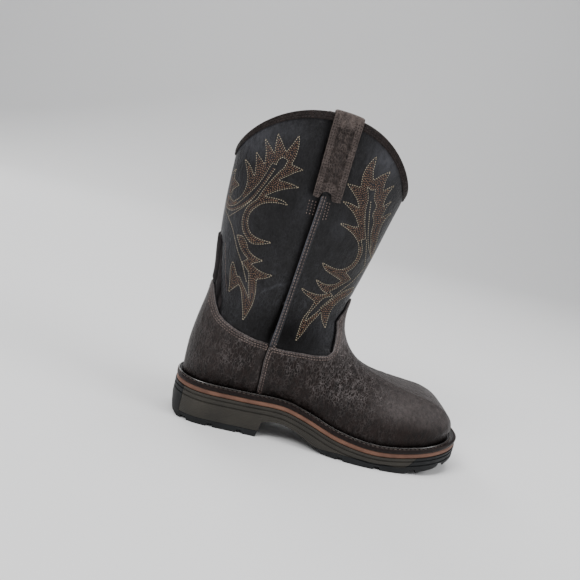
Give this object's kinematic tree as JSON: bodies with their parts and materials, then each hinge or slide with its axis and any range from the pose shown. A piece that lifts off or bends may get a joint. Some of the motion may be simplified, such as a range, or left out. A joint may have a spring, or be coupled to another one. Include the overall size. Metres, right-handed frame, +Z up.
{
  "type": "western work boot",
  "caption": "Pull-on western work boot, right foot: tall dipped shaft with side pull straps, vamp and counter, stitched welt, square toe, lugged sole and block heel.",
  "frame": {"origin": "on the floor plane, at the flat lug under the middle of the heel", "axes": "+X from heel to toe, +Y to the inner side of the foot, +Z up from the floor"},
  "size_m": [0.299, 0.1141, 0.3261],
  "materials": {
    "black_leather": "oiled smooth leather, soft sheen",
    "brown_leather": "creased, pebbled oiled leather",
    "stretch_panel": "matt folded stretch panel",
    "liner": "matt lining board",
    "black_rubber": "matt moulded rubber",
    "grey_rubber": "matt moulded rubber with fine side lines",
    "tan_midsole": "satin",
    "welt_leather": "waxed leather, semi-gloss"
  },
  "bodies": {
    "root": {"tread_heel": "black_rubber", "tread_fore": "black_rubber", "sole_unit": "grey_rubber", "midsole_stripe": "tan_midsole", "welt": "welt_leather", "insole": "liner", "upper": "black_leather", "vamp": "brown_leather", "counter": "brown_leather", "seam_lap_outer": "black_leather", "seam_lap_inner": "black_leather", "collar_binding": "black_leather", "pull_strap_outer": "brown_leather", "pull_strap_inner": "brown_leather", "gusset_back": "stretch_panel"}
  },
  "joints": []
}
